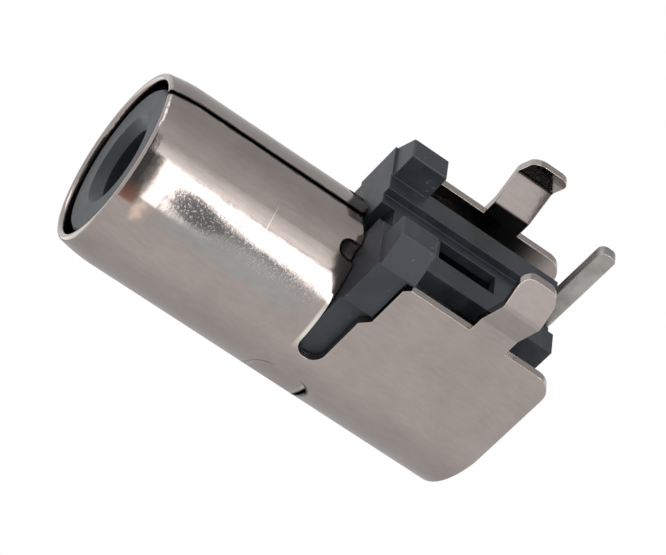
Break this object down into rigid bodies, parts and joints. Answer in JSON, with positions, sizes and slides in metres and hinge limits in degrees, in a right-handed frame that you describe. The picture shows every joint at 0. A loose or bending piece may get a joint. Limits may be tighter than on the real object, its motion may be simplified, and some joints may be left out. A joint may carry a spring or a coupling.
{
  "type": "rca socket",
  "caption": "Right-angle coaxial audio socket for a circuit board: rolled metal shell with snap-in legs, moulded insulator and a spring contact with a solder tail.",
  "frame": {"origin": "where the centre line of the signal tail crosses the circuit board's face, on which the insulator's two feet seat", "axes": "+Z away from the board, so the legs and the tail point to -Z; -Y out of the socket's mouth, +Y to its back; X across"},
  "size_m": [0.0096, 0.0188, 0.0135],
  "materials": {
    "nickel": "satin nickel plate over rolled steel sheet",
    "insulator": "matte moulded charcoal plastic",
    "tinned_contact": "dull tin plate over brass"
  },
  "bodies": {
    "root": {"shell": "nickel", "insulator_housing": "insulator", "centre_contact": "tinned_contact"}
  },
  "joints": []
}
